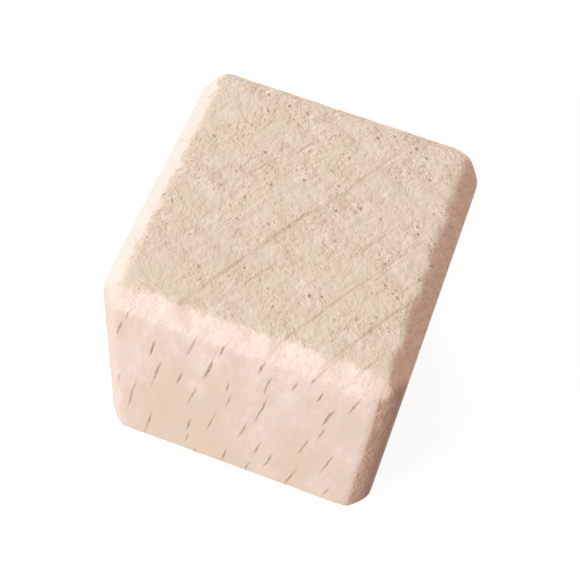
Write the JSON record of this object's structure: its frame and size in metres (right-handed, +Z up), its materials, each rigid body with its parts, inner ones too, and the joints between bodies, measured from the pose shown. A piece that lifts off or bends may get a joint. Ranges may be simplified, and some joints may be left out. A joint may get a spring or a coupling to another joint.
{
  "type": "wooden cube",
  "caption": "Solid beech cube with bevelled edges and rounded corners, for counting, games, crafts and stacking.",
  "frame": {"origin": "centre of the base face, on the surface that the cube stands on", "axes": "+Z up along the grain, -Y out of the front face, +X out of the right face"},
  "size_m": [0.015, 0.015, 0.015],
  "materials": {
    "beech": "sanded, unfinished"
  },
  "bodies": {
    "root": {"wooden_cube": "beech"}
  },
  "joints": []
}
